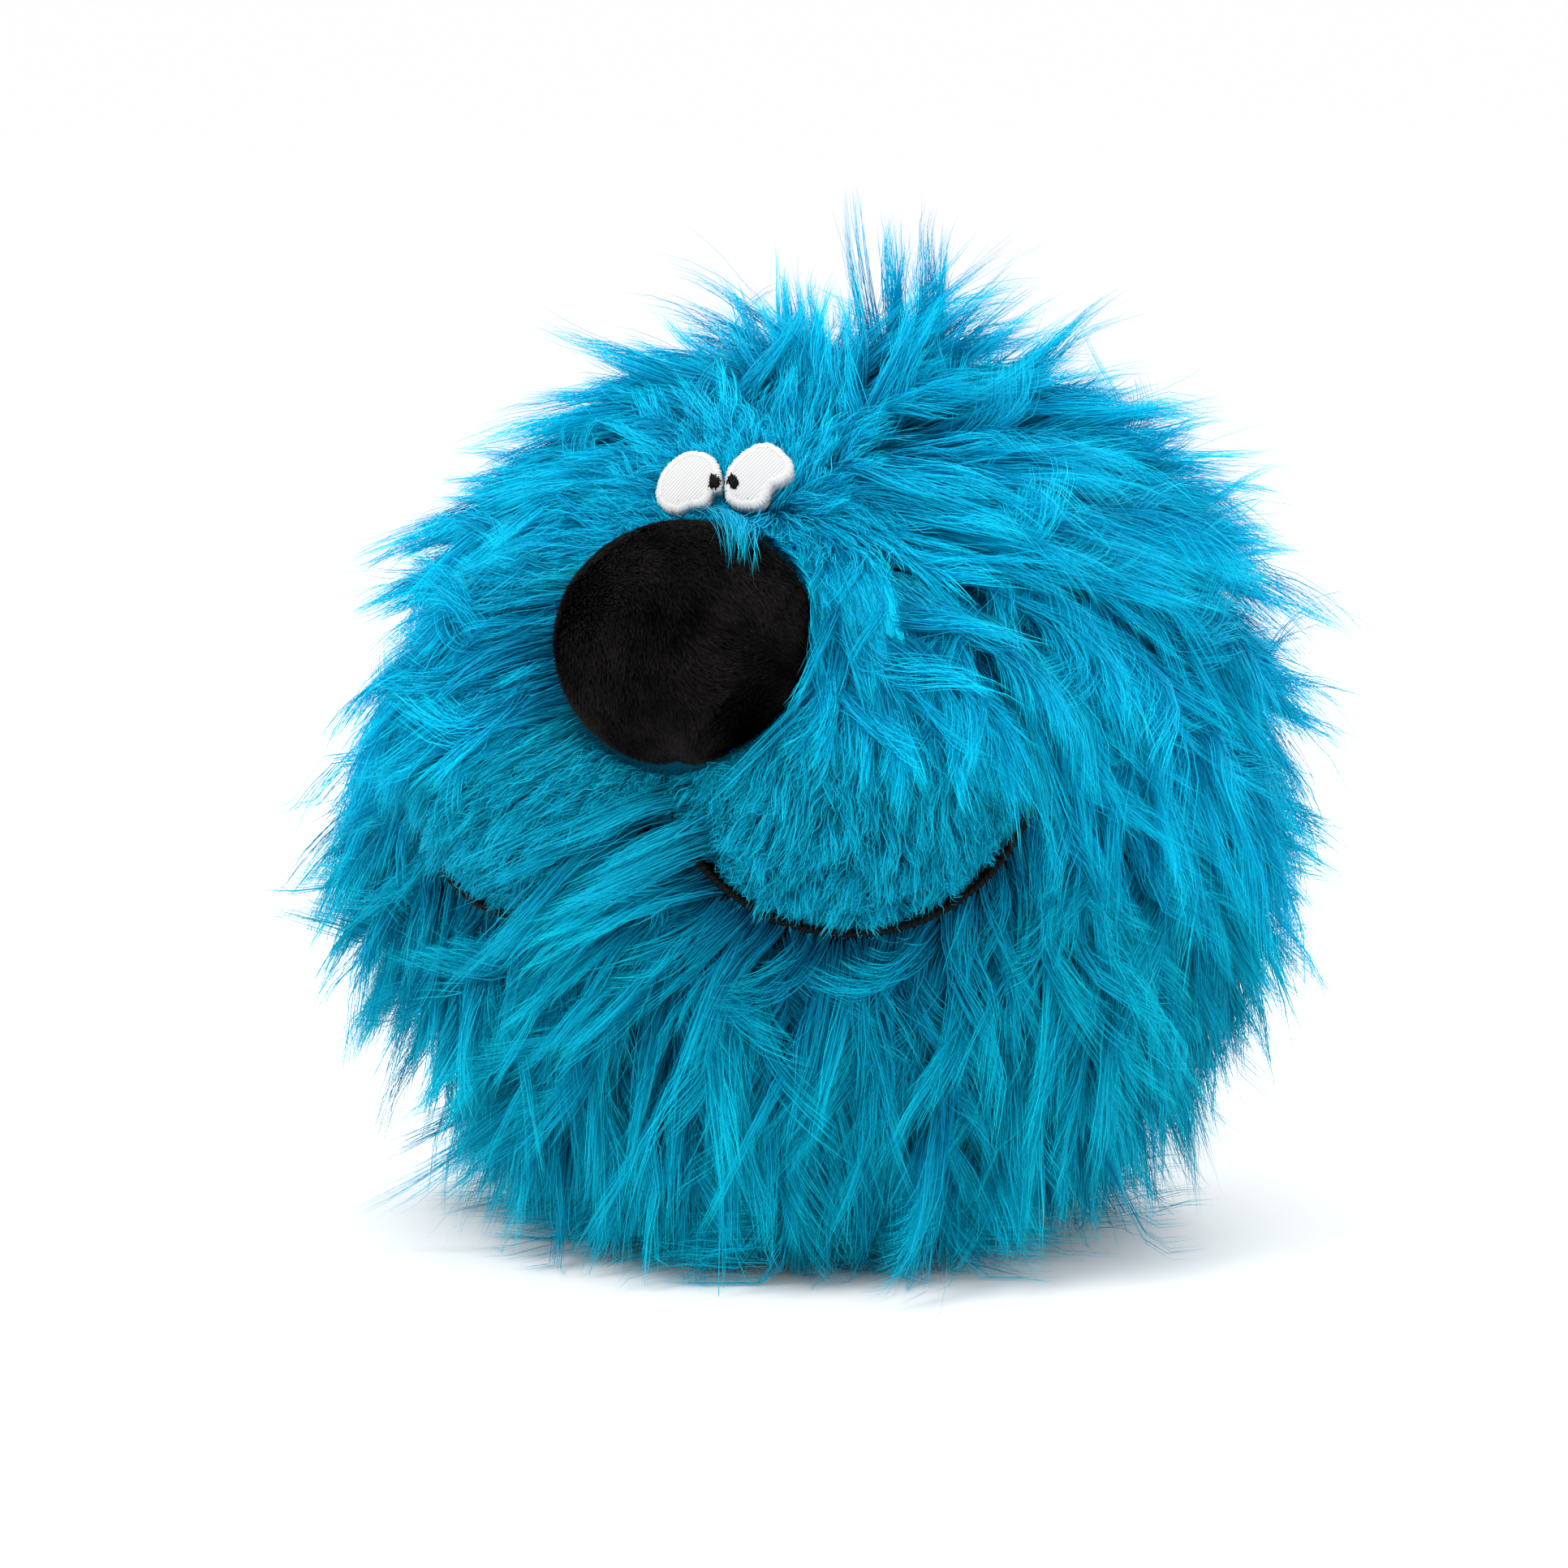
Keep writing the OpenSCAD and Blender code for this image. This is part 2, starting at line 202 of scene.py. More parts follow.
def skin_at(u):
    """Distance of the skin from the centre: a ball with two soft muzzle pads that sink towards the nose."""
    rise = np.maximum(0, 1 - (ring_angle(u) / RING) ** 2) ** 0.6
    return SKIN + PAD_RISE * rise * smooth(angle_to(u, NOSE_DIR), 12, 30)


# The eyes' own frame: outwards, to the viewer's right and up
eye_normal = unit(direction(5.0, 33.0))
eye_right = unit(np.cross(np.array([0.0, 0.0, 1.0]), eye_normal))
eye_up = np.cross(eye_normal, eye_right)
EYE_AT = CENTRE + direction(0.0, 48.6) * 0.1160 + np.array([0.0026, -0.002, 0.0])


def eye_xy(x, y):
    """Millimetres on the eye cloth for a point of an eye's outline."""
    return 0.96 * x - 0.16 * y, y + 0.034 * x


# The eyes' outlines, left and right as the picture shows them; the left one is the puppet's own right eye
EYE_LEFT_SEEN = [
    (-10.9, 10.0), (-14.1, 8.7), (-17.2, 6.1), (-19.0, 3.1), (-20.0, -0.4), (-19.6, -3.9), (-18.0, -6.3),
    (-15.3, -7.5), (-12.9, -7.7), (-10.2, -6.8), (-7.8, -6.8), (-5.5, -6.0), (-4.5, -4.2), (-3.9, -2.6),
    (-2.5, -2.4), (-1.4, -2.2), (-1.2, 0.8), (-1.8, 3.9), (-2.8, 6.3), (-4.6, 8.3), (-7.4, 9.6),
]
EYE_RIGHT_SEEN = [
    (11.6, 12.4), (8.5, 11.8), (5.3, 9.4), (2.6, 6.3), (0.9, 3.5), (0.4, 0.8), (0.2, -2.4), (0.5, -5.1),
    (2.2, -6.7), (4.9, -7.3), (8.1, -7.1), (10.4, -5.7), (11.6, -3.9), (12.8, -0.8), (15.2, 0.6),
    (17.5, 2.4), (18.5, 4.7), (18.1, 7.1), (16.3, 9.4), (14.0, 11.6),
]


# ---------------------------------------------------------------- strand building
def nearest(points, queries):
    tree = KDTree(len(points))
    for i, p in enumerate(points):
        tree.insert(p, i)
    tree.balance()
    return np.array([tree.find(q)[1] for q in queries])


def wobble(u, seed, scale):
    """Smooth noise on the ball, from -1 to 1."""
    r = np.random.default_rng(seed)
    out = np.zeros(len(u))
    for _ in range(6):
        k = unit(r.normal(size=3)) * scale * r.uniform(0.7, 1.3)
        out += np.sin(u @ k + r.uniform(0, 2 * math.pi))
    return out / 3.0


def scatter(n, keep, seed):
    """About n points spread over the whole ball, of which keep(unit vectors) are used."""
    r = np.random.default_rng(seed)
    i = np.arange(n) + 0.5
    z = 1 - 2 * i / n
    a = i * math.pi * (3 - math.sqrt(5))
    u = np.stack([np.sqrt(1 - z * z) * np.cos(a), np.sqrt(1 - z * z) * np.sin(a), z], -1)
    u = unit(u + r.normal(size=u.shape) * (0.9 / math.sqrt(n)))
    return u[keep(u)]


# How the pile is combed: from (azimuth, elevation) towards (azimuth, elevation), then lift and length in mm
STROKES = np.array([
    # brow, forehead and crown
    (0, 60, -24, 68, 0.36, 40), (24, 62, 30, 80, 0.46, 46), (-24, 52, -50, 44, 0.18, 38),
    (42, 60, 66, 60, 0.50, 52), (23, 76, 0, 86, 0.58, 50), (-67, 76, -70, 52, 0.14, 38),
    (113, 76, 110, 52, 0.46, 54), (-157, 78, -157, 55, 0.60, 52),
    # cheek on the side of the eye that is on the viewer's left
    (-20, 38, -42, 24, 0.24, 44), (-24, 22, -42, 2, 0.24, 50), (-48, 38, -74, 20, 0.16, 50),
    (-50, 12, -62, -12, 0.36, 56), (-62, -8, -74, -28, 0.62, 62), (-66, -28, -76, -47, 0.62, 58),
    (-80, 52, -100, 34, 0.12, 40), (-92, 20, -104, 0, 0.34, 54), (-95, -15, -104, -38, 0.60, 58),
    # the other cheek
    (62, 48, 96, 42, 0.38, 58), (42, 44, 68, 20, 0.34, 56), (54, 28, 70, 2, 0.32, 60),
    (33, 26, 46, 4, 0.26, 52), (40, 14, 42, -12, 0.20, 54), (20, 32, 26, 10, 0.20, 34),
    (16, 20, 10, 0, 0.16, 26), (90, 48, 120, 38, 0.58, 56), (94, 30, 120, 14, 0.56, 58),
    (86, 12, 106, -14, 0.48, 60), (96, -4, 114, -28, 0.52, 60), (96, -26, 98, -50, 0.34, 50),
    (68, 8, 80, -18, 0.32, 58), (66, -12, 69, -38, 0.30, 54), (66, -34, 66, -60, 0.32, 50),
    (55, -8, 55, -32, 0.26, 50),
    # muzzle
    (26, 2, 22, -18, 0.26, 14), (9, 6, 0, -6, 0.24, 13), (-12, 8, -28, -2, 0.24, 13),
    (-28, -2, -38, -16, 0.26, 13), (44, 2, 46, -20, 0.26, 18), (-42, 4, -52, -12, 0.28, 20),
    # chin
    (2, -6, -20, -24, 0.36, 50), (-8, -16, -28, -38, 0.34, 58), (-30, -20, -46, -36, 0.30, 50),
    (-26, -36, -38, -60, 0.36, 58), (10, -24, 2, -48, 0.32, 62), (25, -22, 22, -46, 0.28, 62),
    (40, -28, 37, -54, 0.30, 60), (0, -46, -8, -68, 0.36, 56), (-46, -44, -57, -62, 0.50, 50),
    (25, -50, 24, -72, 0.36, 54), (55, -52, 54, -74, 0.36, 50),
    # back
    (180, 58, 180, 32, 0.52, 54), (140, 52, 148, 28, 0.55, 56), (-140, 52, -150, 28, 0.55, 56),
    (150, 26, 152, 0, 0.48, 54), (-150, 26, -154, 0, 0.48, 54), (180, 2, 180, -24, 0.44, 52),
    (132, -6, 136, -32, 0.46, 52), (-128, -6, -133, -32, 0.46, 52), (160, -36, 160, -62, 0.38, 46),
    (-160, -36, -160, -62, 0.38, 46), (-115, -42, -120, -64, 0.50, 50), (125, -42, 126, -66, 0.38, 46),
    (118, 20, 138, 0, 0.50, 56), (-118, 22, -132, 0, 0.50, 54),
], float)
STROKE_AT = direction(STROKES[:, 0], STROKES[:, 1])
STROKE_LIE = direction(STROKES[:, 2], STROKES[:, 3])
STROKE_LIE = unit(STROKE_LIE - (STROKE_LIE * STROKE_AT).sum(1, keepdims=True) * STROKE_AT)
EYES_MID = direction(4.0, 47.0)


def turned(u, t, angle):
    """Tangents t at directions u, turned about u."""
    return unit(t * np.cos(angle)[:, None] + np.cross(u, t) * np.sin(angle)[:, None])


def combed(u):
    """Which way the pile lies at directions u, without its small disorder."""
    w = np.exp(-((1 - u @ STROKE_AT.T) / 0.036)) + 1e-6
    w = w / w.sum(1, keepdims=True)
    t = w @ STROKE_LIE
    return unit(t - (t * u).sum(1, keepdims=True) * u), w @ STROKES[:, 4], w @ STROKES[:, 5] / 1000


def comb(u):
    """(tangent, lift, length, droop) of the pile at directions u from the centre."""
    az = np.degrees(np.arctan2(u[:, 0], -u[:, 1]))
    el = np.degrees(np.arcsin(np.clip(u[:, 2], -1, 1)))
    t, lift, length = combed(u)
    calm = 1 - 0.65 * smooth(-ring_angle(u), -34, -24)
    t = turned(u, t, (0.34 * wobble(u, 3, 5.0) + 0.30 * wobble(u, 4, 12.0)) * calm
               * (1 + 0.7 * smooth(el, 30, 60) * smooth(az, -30, 30) - 0.45 * smooth(-el, 8, 34)))
    lift = lift + (0.10 * wobble(u, 5, 9.0)) * calm
    length = length * (1 + 0.10 * wobble(u, 6, 8.0))
    length *= 1 - 0.30 * smooth(-el, 52, 80)
    rim = np.linalg.norm((CENTRE + u * SKIN)[:, :2] - OPENING, axis=1)
    length *= np.where(el < -40, 0.35 + 0.65 * smooth(rim, OPENING_R, OPENING_R + 0.018), 1)
    eyes = angle_to(u, EYES_MID)
    length *= 0.28 + 0.72 * smooth(eyes, 8, 21)
    lift *= 0.55 + 0.45 * smooth(eyes, 10, 30)
    nose = angle_to(u, NOSE_DIR)
    length *= 0.55 + 0.45 * smooth(nose, 17, 24)
    lift *= 0.55 + 0.45 * smooth(nose, 18, 30)
    pad = ring_angle(u) < RING
    short = (0.0135 + 0.036 * smooth(el, 9, 24) * smooth(az, 12, 27)
             + 0.034 * smooth(-az, 10, 26) * smooth(el, 4, 17))
    short *= 0.34 + 0.66 * smooth(-ring_angle(u), -RING, -12)
    length = np.where(pad, short, length)
    lift = np.where(pad, 0.13 + 0.12 * smooth(-ring_angle(u), -22, -10), lift)
    droop = np.where(pad, 3.0, 10.0 - 7.0 * smooth(el, 25, 65))
    hang = np.maximum(-np.sin(np.radians(el)), 0) * np.where(pad, 0, 0.9) * smooth(-el, 4, 22)
    return t, np.clip(np.maximum(lift, hang + 0.3 * lift), 0.10, 0.97), length, droop


def sleekness(u):
    """1 where the pile is trimmed and lies evenly, 0 where it is long and tousled."""
    return 1 - smooth(comb(u)[2], 0.014, 0.032)


def grow(u, seed, turn=0.30, floor=0.0012):
    """Curves of the locks whose roots are in directions u."""
    r = np.random.default_rng(seed)
    n = len(u)
    t, lift, length, droop = comb(u)
    calm = 1 - smooth(length, 0.014, 0.032)
    low = smooth(-u[:, 2], 0.1, 0.5)
    wave = (1 - 0.5 * calm) * (1 - 0.45 * low)
    top = r.uniform(size=n) < 0.36
    lift = lift + np.where(top, 0.10, -0.03) * (1 - calm)
    length = length * np.where(top, 1.10, 0.90)
    t = turned(u, t, r.normal(size=n) * turn * (1 - 0.7 * calm) * np.where(top, 1.3, 0.9) * (1 - 0.5 * low))
    lift = np.clip(lift + r.normal(size=n) * 0.10, 0.08, 0.97)
    length = length * np.exp(r.normal(size=n) * 0.15)
    p = CENTRE + u * skin_at(u)[:, None]
    d = unit(u * lift[:, None] + t * np.sqrt(1 - lift * lift)[:, None])
    step = length / M
    phase, pitch = r.uniform(0, 2 * math.pi, n), r.uniform(0.045, 0.085, n)
    sway, curl, roll = (r.normal(size=n) * k * wave for k in (40.0, 18.0, 16.0))
    out = [p.copy()]
    for k in range(M):
        s = step * (k + 0.5)
        here = unit(p - CENTRE)
        b = unit(np.cross(here, d) + 1e-9)
        up = np.cross(d, b)
        lie = combed(here)[0]
        side = (sway * np.cos(2 * math.pi * s / pitch + phase) + curl) * step
        d = d + b * side[:, None] + up * (roll * np.sin(2 * math.pi * s / pitch + phase) * step)[:, None]
        cling = 0.07 * smooth(here[:, 2], -0.35, -0.05)
        d = unit(d + lie * cling[:, None] + np.array([0, 0, -1.0]) * (droop * step)[:, None])
        p = p + d * step[:, None]
        o = p - CENTRE
        far = np.linalg.norm(o, axis=1)
        least = skin_at(o / far[:, None]) + 0.0015 + 0.006 * (k + 1) / M * np.minimum(length / 0.05, 1)
        p = CENTRE + o * (np.maximum(far, least) / far)[:, None]
        under = p[:, 2] < floor
        p[:, 2] = np.maximum(p[:, 2], floor + 0.0015 * r.uniform(0, 1, n))
        d[under, 2] = np.abs(d[under, 2]) * 0.1
        out.append(p.copy())
    return np.stack(out, 1), top


def gather(roots, parent_curves, clump, power, seed, frizz, twist, scale):
    """Curves from roots that run together with the nearest parent curve towards their tips."""
    r = np.random.default_rng(seed)
    n = len(roots)
    which = nearest(parent_curves[:, 0], roots)
    parent = parent_curves[which]
    off = roots - parent[:, 0]
    k = np.linspace(0, 1, M + 1)
    c = np.clip(clump, 0, 1)[:, None] * (k ** power)[None]
    axis = unit(parent[:, -1] - parent[:, 0])
    angle = twist * r.normal(size=n)[:, None] * k[None]
    turned = (off[:, None] * np.cos(angle)[..., None] + np.cross(axis, off)[:, None] * np.sin(angle)[..., None]
              + (axis * (axis * off).sum(1, keepdims=True))[:, None] * (1 - np.cos(angle))[..., None])
    curve = parent + turned * (1 - c)[..., None]
    w1, w2 = r.normal(size=(n, 3)), r.normal(size=(n, 3))
    ph = r.uniform(0, 2 * math.pi, (n, 1))
    fr = r.uniform(0.6, 1.6, (n, 1)) * 2 * math.pi
    wave = np.sin(fr * k[None] + ph) - np.sin(ph)
    curve += (w1[:, None] * k[None, :, None] + w2[:, None] * wave[..., None] * 0.6) * frizz
    s = r.uniform(scale[0], scale[1], n)
    return curve[:, :1] + (curve - curve[:, :1]) * s[:, None, None], which


def guard(curves, floor=0.0008):
    """Keeps strands above the floor, off the skin, the nose and the opening, and within the tufts' reach."""
    p = curves[:, 1:]
    p[..., 2] = np.clip(p[..., 2], floor, TUFTS_UP)
    p[..., :2] = np.clip(p[..., :2], -TUFTS_OUT, TUFTS_OUT)
    k = np.linspace(0, 1, M + 1)[1:][None]
    o = p - CENTRE
    far = np.linalg.norm(o, axis=-1)
    low = skin_at((o / far[..., None]).reshape(-1, 3)).reshape(far.shape) + 0.0006 + 0.0015 * k
    p = CENTRE + o * (np.maximum(far, low) / far)[..., None]
    o = p[..., :2] - OPENING
    far = np.linalg.norm(o, axis=-1)
    out = OPENING_R + 0.0006 + 0.002 * k + 0 * far
    moved = OPENING + o * (np.maximum(far, out) / far)[..., None]
    p[..., :2] = np.where((p[..., 2] < 0.05)[..., None], moved, p[..., :2])
    o = p - NOSE
    far = np.linalg.norm(o, axis=-1)
    p = NOSE + o * (np.maximum(far, NOSE_R + 0.0012 + 0.002 * k) / np.maximum(far, 1e-6))[..., None]
    curves[:, 1:] = p
    return curves


def strand_mesh(name, curves, width, shade, material, seed, turn=0.9):
    """One tapering ribbon to each curve, with U along it and V its shade."""
    r = np.random.default_rng(seed)
    n, rings = curves.shape[0], curves.shape[1]
    last = rings - 1
    tangent = unit(np.gradient(curves, axis=1))
    out = unit(curves[:, -1] - CENTRE)[:, None] * np.ones((1, rings, 1))
    side = unit(np.cross(tangent, out) + 1e-7)
    up = np.cross(side, tangent)
    a = (r.normal(size=n) * turn)[:, None] + (r.normal(size=n) * 0.5)[:, None] * np.linspace(0, 1, rings)[None]
    side = side * np.cos(a)[..., None] + up * np.sin(a)[..., None]
    k = np.linspace(0, 1, rings)
    w = np.asarray(width)[:, None] * (TIP + (1 - TIP) * (1 - k ** 2.2))[None] * 0.5
    left = curves - side * w[..., None]
    right = curves + side * w[..., None]
    verts = np.empty((n, 2 * last + 1, 3))
    verts[:, 0:2 * last:2] = left[:, :last]
    verts[:, 1:2 * last:2] = right[:, :last]
    verts[:, 2 * last] = curves[:, last]
    base = (np.arange(n) * (2 * last + 1))[:, None]
    tri = []
    for j in range(last - 1):
        q = 2 * j
        tri += [[q, q + 1, q + 3], [q, q + 3, q + 2]]
    tri.append([2 * last - 2, 2 * last - 1, 2 * last])
    tri = np.array(tri)
    faces = (base[:, :, None] + tri[None]).reshape(-1, 3)
    along = np.empty(2 * last + 1)
    along[0:2 * last:2] = along[1:2 * last:2] = np.arange(last) / last
    along[2 * last] = 1.0
    uv = np.empty((n, len(tri), 3, 2), np.float32)
    uv[..., 0] = (0.01 + 0.98 * along)[tri][None]
    uv[..., 1] = np.clip(shade, 0.01, 0.99)[:, None, None]
    mesh = bpy.data.meshes.new(name)
    mesh.vertices.add(n * (2 * last + 1))
    mesh.vertices.foreach_set("co", verts.astype(np.float32).ravel())
    mesh.loops.add(len(faces) * 3)
    mesh.loops.foreach_set("vertex_index", faces.astype(np.int32).ravel())
    mesh.polygons.add(len(faces))
    mesh.polygons.foreach_set("loop_start", np.arange(0, len(faces) * 3, 3, dtype=np.int32))
    mesh.polygons.foreach_set("use_smooth", np.ones(len(faces), bool))
    layer = mesh.uv_layers.new(name="OFBake")
    layer.data.foreach_set("uv", uv.ravel())
    mesh.update(calc_edges=True)
    mesh.validate()
    mesh.materials.append(material)
    o = bpy.data.objects.new(name, mesh)
    bpy.context.scene.collection.objects.link(o)
    return o


# ---------------------------------------------------------------- where each panel's roots are
def in_nose(u):
    return angle_to(u, NOSE_DIR) < NOSE_EDGE


def in_eyes(u):
    """Under the eyes' cloth."""
    p = (u * (SKIN + 0.005) + CENTRE - EYE_AT) @ np.stack([eye_right, eye_up], 1) * 1000
    hit = np.zeros(len(u), bool)
    for outline in (EYE_LEFT_SEEN, EYE_RIGHT_SEEN):
        line = np.stack(eye_xy(*np.array(outline).T), -1)
        line = line.mean(0) + (line - line.mean(0)) * EYE_BARE
        for a, b in zip(line, np.roll(line, -1, 0)):
            spans = (a[1] > p[:, 1]) != (b[1] > p[:, 1])
            hit ^= spans & (p[:, 0] < a[0] + (b[0] - a[0]) * (p[:, 1] - a[1]) / (b[1] - a[1] + 1e-12))
    return hit & (u[:, 1] < 0)


def in_jaw(u):
    """In front of the mouth's back edge and below the mouth, where the jaw's panels are."""
    p = CENTRE + u * SKIN
    rel = p - HINGE
    front = -rel[:, 1] * math.sin(REAR) + rel[:, 2] * math.cos(REAR) > 0
    return (np.abs(p[:, 0]) < JAW_HALF) & (p[:, 2] < JAW_TOP) & front


def in_panel(u):
    """The trimmed panel round the eyes."""
    return (angle_to(u, PANEL_MID) < PANEL_EDGE) & (ring_angle(u) >= RING)


def in_opening(u):
    p = CENTRE + u * SKIN
    return (p[:, 2] < 0.06) & (np.linalg.norm(p[:, :2] - OPENING, axis=1) < OPENING_R + 0.001)


def long_head(u):
    return (ring_angle(u) > RING + 0.8) & ~in_nose(u) & ~in_jaw(u) & ~in_eyes(u) & ~in_opening(u)


def long_jaw(u):
    return (ring_angle(u) > RING + 2.0) & in_jaw(u)


def on_pads(u):
    return (ring_angle(u) < RING - 0.4) & ~in_nose(u)


# Single locks that stand out: from, towards, lift, length in mm, and how many neighbours go with them
HEROES = (
    (110, 80, -70, 84, 0.96, 66, 4), (116, 76, 60, 88, 0.93, 58, 2), (0, 80, -40, 84, 0.60, 48, 2),
    (-34, 74, -62, 62, 0.55, 50, 3), (-52, 66, -70, 48, 0.34, 46, 2), (60, 78, 110, 66, 0.80, 58, 3),
    (84, 70, 108, 52, 0.72, 60, 3), (90, 56, 112, 44, 0.70, 56, 3), (92, 46, 114, 40, 0.70, 58, 2),
    (94, 36, 118, 30, 0.72, 60, 3), (92, 16, 112, 10, 0.66, 60, 3), (98, 0, 118, -14, 0.72, 66, 4),
    (98, -22, 110, -46, 0.54, 56, 3), (96, -38, 108, -56, 0.55, 52, 2), (-60, 48, -84, 40, 0.50, 52, 2),
    (-64, 40, -86, 30, 0.66, 58, 3), (-64, 30, -84, 18, 0.60, 56, 2), (-66, 2, -78, -18, 0.50, 56, 3),
    (-60, -30, -72, -50, 0.44, 52, 2), (1, -5, -24, -5, 0.44, 56, 4), (-4, -10, -28, -22, 0.40, 52, 2),
    (44, 22, 47, -4, 0.30, 60, 4), (34, 26, 36, 2, 0.26, 56, 4), (50, 32, 66, 8, 0.42, 62, 4),
    (58, 40, 84, 22, 0.44, 62, 4), (24, 32, 30, 12, 0.26, 50, 3), (-40, -40, -48, -60, 0.56, 52, 2),
    (-22, -46, -34, -64, 0.78, 56, 2), (-4, -50, -14, -70, 0.84, 54, 2), (18, -50, 14, -72, 0.84, 54, 2),
    (52, -46, 60, -66, 0.78, 56, 2), (74, -42, 82, -60, 0.74, 56, 2), (-62, -16, -76, -34, 0.56, 58, 3),
    (-58, -36, -68, -56, 0.50, 52, 2), (7, 38, 5, 26, 0.22, 17, 2), (30, 50, 56, 34, 0.40, 52, 3),
)


def with_heroes(u, curves):
    """Replaces the locks nearest each hero's root by locks that follow it."""
    for i, (a, e, a2, e2, lift, length, count) in enumerate(HEROES):
        r = np.random.default_rng(900 + i)
        at, to = direction(float(a), float(e)), direction(float(a2), float(e2))
        near = np.argsort(-(u @ at))[:count]
        if len(near) == 0 or u[near[0]] @ at < 0.985:
            continue
        t0 = unit(to - (to @ at) * at)
        bend = r.normal() * 14
        for j in near:
            up = u[j]
            t = unit(t0 - (t0 @ up) * up)
            d = unit(up * lift + t * math.sqrt(1 - lift * lift) + r.normal(size=3) * 0.04)
            p = CENTRE + up * skin_at(u[j:j + 1])[0]
            step = length * r.uniform(0.88, 1.04) / 1000 / M
            line = [p.copy()]
            for k in range(M):
                side = unit(np.cross(up, d))
                sag = np.array([0, 0, -1.0]) * (7 if e < 60 else 1.5) * step
                d = unit(d + side * bend * math.cos(3.2 * k / M + i) * step + sag)
                p = p + d * step
                line.append(p.copy())
            curves[j] = line
    return curves


def coat(keep, seed, tufts, guides, strands):
    """Locks, wisps within them, and strands within those."""
    s = scatter(tufts, keep, seed)
    locks, top = grow(s, seed + 1)
    locks = with_heroes(s, locks)
    g = scatter(guides, keep, seed + 2)
    r = np.random.default_rng(seed + 5)
    own, _ = grow(g, seed + 3)
    even = sleekness(g)
    count = len(own)
    clump = r.uniform(0.76, 0.98, count) * (1 - 0.9 * even)
    wisps, of_lock = gather(own[:, 0], locks, clump, 1.0, seed + 4, 0.0014, 0.5, (0.66, 1.06))
    free = np.where(r.uniform(size=count) < 0.16, r.uniform(0.6, 1.0, count), r.uniform(0.0, 0.22, count))
    wisps = own * free[:, None, None] + wisps * (1 - free)[:, None, None]
    # Locks of the top layer are painted lighter and those beneath darker, painted light and shade of the
    # layering, over a random tone of each lock and wisp.
    tone_and_painted_light = (r.normal(size=len(locks)) * 0.7 + np.where(top, 0.9, -0.45))[of_lock] * (1 - 0.8 * even)
    tone_and_painted_light = tone_and_painted_light + r.normal(size=count) * 0.45 * (1 - 0.4 * even)
    roots_u = scatter(int(strands * QUICK), keep, seed + 7)
    roots = CENTRE + roots_u * skin_at(roots_u)[:, None]
    r = np.random.default_rng(seed + 8)
    n = len(roots)
    kind = r.uniform(size=n)
    clump = np.where(kind < 0.06, 0.3, np.where(kind < 0.22, 0.65, r.uniform(0.82, 0.98, n)))
    clump = clump * (1 - 0.75 * sleekness(roots_u))
    curves, which = gather(roots, wisps, clump, 0.9, seed + 9, 0.0008, 0.8, (0.62, 1.06))
    clear = np.linalg.norm(curves - NOSE, axis=-1).min(1) > NOSE_R - 0.004
    curves, which, roots_u, kind = curves[clear], which[clear], roots_u[clear], kind[clear]
    n = len(curves)
    under = kind > 0.86
    curves[under] = curves[under, :1] + (curves[under] - curves[under, :1]) * 0.5
    fly = kind < 0.05
    k = np.linspace(0, 1, M + 1)[None, :, None]
    size = np.linalg.norm(curves[fly, -1] - curves[fly, 0], axis=1)[:, None, None]
    curves[fly] += r.normal(size=(fly.sum(), 1, 3)) * 0.13 * size * k ** 1.6
    curves = guard(curves)
    # Painted light and shade: the higher a strand's root, the lighter it is made, darker towards the bottom.
    painted_top_light = smooth(roots_u[:, 2], -0.75, 0.75)
    shade = 0.26 + 0.36 * painted_top_light + 0.15 * tone_and_painted_light[which] + 0.09 * r.normal(size=n)
    # The underfur is made darker: painted shade beneath the long locks.
    shade[under] -= 0.2
    width = np.where(fly, 0.00018, r.uniform(0.00020, 0.00036, n)) / math.sqrt(QUICK)
    return roots_u, curves, np.clip(shade, 0, 1), width


# ---------------------------------------------------------------- pieces made from a coat
def lay(coated, pieces, material, place, seed):
    """Makes the pieces of one coat: (name, which strands, node), in several meshes where one is too big."""
    _, curves, shade, width = coated
    for name, mask, node in pieces:
        index = np.flatnonzero(mask)
        parts = max(1, math.ceil(len(index) * (2 * M - 1) / MOST_FACES))
        for j in range(parts):
            pick = index[j::parts]
            title = f"{name}_{j + 1}" if parts > 1 else name
            o = strand_mesh(title, curves[pick], width[pick], shade[pick], material, seed)
            if node:
                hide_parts(node)
            place(o)


def on_head(o):
    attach(o, "head")


def on_chin(o):
    """Bakes the chin pile's placement into its mesh; it is tied to no body."""
    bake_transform(o)


# ---------------------------------------------------------------- long pile of the head
coated = coat(long_head, 100, tufts=2300, guides=10500, strands=300000)
u = coated[0]
where = CENTRE + u * SKIN
left, back = where[:, 0] > 0, where[:, 1] > 0.030
low = where[:, 2] + 0.008 * wobble(u, 31, 30.0) < JAW_TOP
base = where[:, 2] < 0.022
panel = in_panel(u) & ~low
lay(coated, (
    ("fur_crown_left", left & ~back & ~low & ~panel, "fur_crown_left"),
    ("fur_crown_right", ~left & ~back & ~low & ~panel, "fur_crown_right"),
    ("fur_back_left_upper", left & back & ~low, "fur_back_left"),
    ("fur_back_right_upper", ~left & back & ~low, "fur_back_right"),
), FUR, on_head, 11)
lay(coated, (
    ("fur_back_left_lower", left & back & low & ~base, "fur_back_left"),
    ("fur_back_right_lower", ~left & back & low & ~base, "fur_back_right"),
    ("fur_side_left", left & ~back & low & ~base, "fur_side_left"),
    ("fur_side_right", ~left & ~back & low & ~base, "fur_side_right"),
    ("fur_base", base, "fur_base"),
), LOWER_SHADED, on_head, 17)
lay(coated, (("fur_forehead_long", panel, "fur_forehead"),), FUR, on_head, 13)


